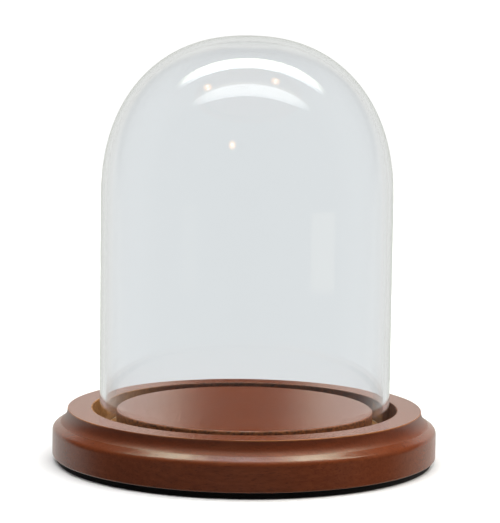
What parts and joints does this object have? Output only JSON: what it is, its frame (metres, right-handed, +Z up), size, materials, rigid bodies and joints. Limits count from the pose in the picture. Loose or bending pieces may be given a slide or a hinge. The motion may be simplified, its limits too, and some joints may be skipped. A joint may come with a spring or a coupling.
{
  "type": "bell jar dome",
  "caption": "Clear glass bell jar standing loose in the groove of a round turned wooden base, with a flat platform inside for an exhibit.",
  "frame": {"origin": "centre of the underside of the felt pad, on the table surface, on the base's axis", "axes": "+Z up along the common axis of the base and the dome; -Y is the side that faces the viewer; the base is round, so X and Y differ only by the screws and the wood's grain, which runs along X"},
  "size_m": [0.2, 0.2, 0.2204],
  "materials": {
    "clear_glass": "clear, polished by blowing, with a ground rim",
    "stained_wood": "red-brown stain under satin lacquer",
    "platform_wood": "red-brown stain under satin lacquer, glossier on its top face",
    "bare_wood": "plain unlacquered hardwood with a thin wash of stain",
    "felt": "black wool felt",
    "screw_steel": "zinc plated"
  },
  "bodies": {
    "base": {"base_ring": "stained_wood", "display_platform": "platform_wood", "base_board": "bare_wood", "felt_pad": "felt", "ring_screws": "screw_steel", "platform_screws": "screw_steel"},
    "dome": {"glass_dome": "clear_glass"}
  },
  "joints": [
    {"name": "dome_lift", "type": "slide", "parent": "base", "child": "dome", "axis": [0, 0, 1], "range_m": [0, 0.22]}
  ]
}
